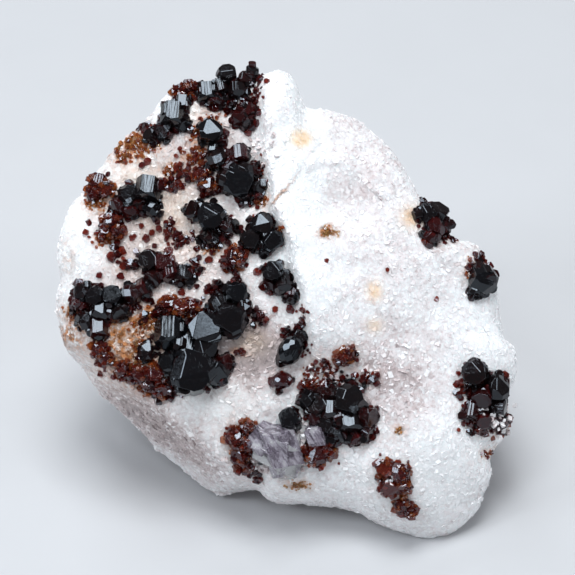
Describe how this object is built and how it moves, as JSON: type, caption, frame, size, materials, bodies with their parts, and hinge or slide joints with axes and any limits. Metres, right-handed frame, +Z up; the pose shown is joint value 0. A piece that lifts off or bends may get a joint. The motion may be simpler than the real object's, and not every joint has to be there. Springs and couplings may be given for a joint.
{
  "type": "uvite on magnesite matrix",
  "caption": "Cabinet mineral specimen: near-black and dark red uvite crystals in clusters on a white sugary magnesite rock that rests on its flat underside.",
  "frame": {"origin": "centre of the bounding box's footprint, on the flat underside", "axes": "+Z up, +X to the right across the crystal face, +Y to the back; the crystal face looks up and towards -Y"},
  "size_m": [0.1106, 0.0886, 0.0913],
  "materials": {
    "magnesite": "sugary, white to pale lilac, with glittering cleavage grains and ochre stains",
    "uvite": "vitreous, near-black with dark red-brown edges",
    "red_uvite": "vitreous, dark red to orange-brown",
    "clear_magnesite": "clear, faintly lilac cleavage rhombs"
  },
  "bodies": {
    "root": {"magnesite_matrix": "magnesite", "band_red_uvite": "red_uvite", "boss_lower_red_uvite": "red_uvite", "boss_red_uvite": "red_uvite", "clear_magnesite_group": "clear_magnesite", "clear_magnesite_stud": "clear_magnesite", "cliff_uvite": "uvite", "egg_uvite": "uvite", "foot_of_cliff_uvite": "uvite", "left_band_uvite": "uvite", "left_stud_uvite": "uvite", "left_uvite": "uvite", "lone_red_uvite": "red_uvite", "lone_upper_uvite": "uvite", "lower_cliff_uvite": "uvite", "lower_left_red_uvite": "red_uvite", "lower_middle_uvite": "uvite", "lower_right_uvite": "uvite", "main_uvite": "uvite", "middle_red_uvite": "red_uvite", "middle_uvite": "uvite", "ridge_foot_red_uvite": "red_uvite", "ridge_top_uvite": "uvite", "right_edge_uvite": "uvite", "right_shoulder_uvite": "uvite", "rim_lower_red_uvite": "red_uvite", "rim_middle_red_uvite": "red_uvite", "rim_upper_red_uvite": "red_uvite", "summit_uvite": "uvite", "upper_basin_red_uvite": "red_uvite", "upper_edge_red_uvite": "red_uvite", "upper_left_uvite": "uvite", "vug_left_red_uvite": "red_uvite", "vug_right_red_uvite": "red_uvite", "vug_upper_uvite": "uvite"}
  },
  "joints": []
}
